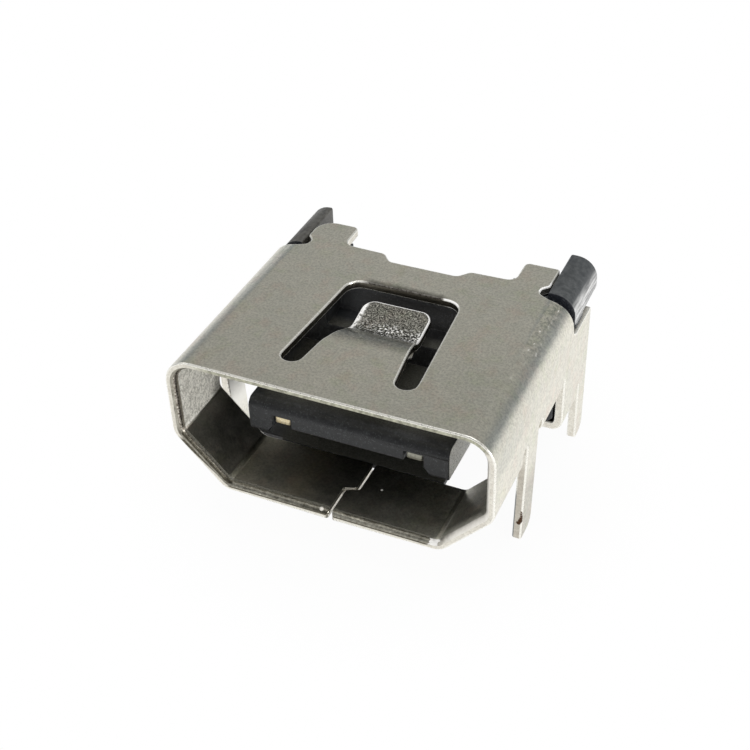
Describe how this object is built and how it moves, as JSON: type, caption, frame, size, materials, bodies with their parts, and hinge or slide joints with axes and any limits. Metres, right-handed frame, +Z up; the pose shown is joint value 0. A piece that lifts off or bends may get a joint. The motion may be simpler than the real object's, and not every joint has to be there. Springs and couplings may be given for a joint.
{
  "type": "power jack",
  "caption": "Board-mounted power jack: a folded metal shell with a sprung latch and through-board legs round a moulded tongue with two contacts.",
  "frame": {"origin": "centre of the bounding box in plan, at the level of the leg tips", "axes": "+X across the jack to the right as seen looking into its mouth, +Y from the mouth to the back, +Z up from the board"},
  "size_m": [0.009, 0.0084, 0.0055],
  "materials": {
    "shell": "nickel-plated stamped sheet, satin, faintly grained",
    "housing": "black moulded plastic, satin",
    "contact": "gold-plated strip"
  },
  "bodies": {
    "root": {"shell": "shell", "housing": "housing", "contact_left": "contact", "contact_right": "contact"}
  },
  "joints": []
}
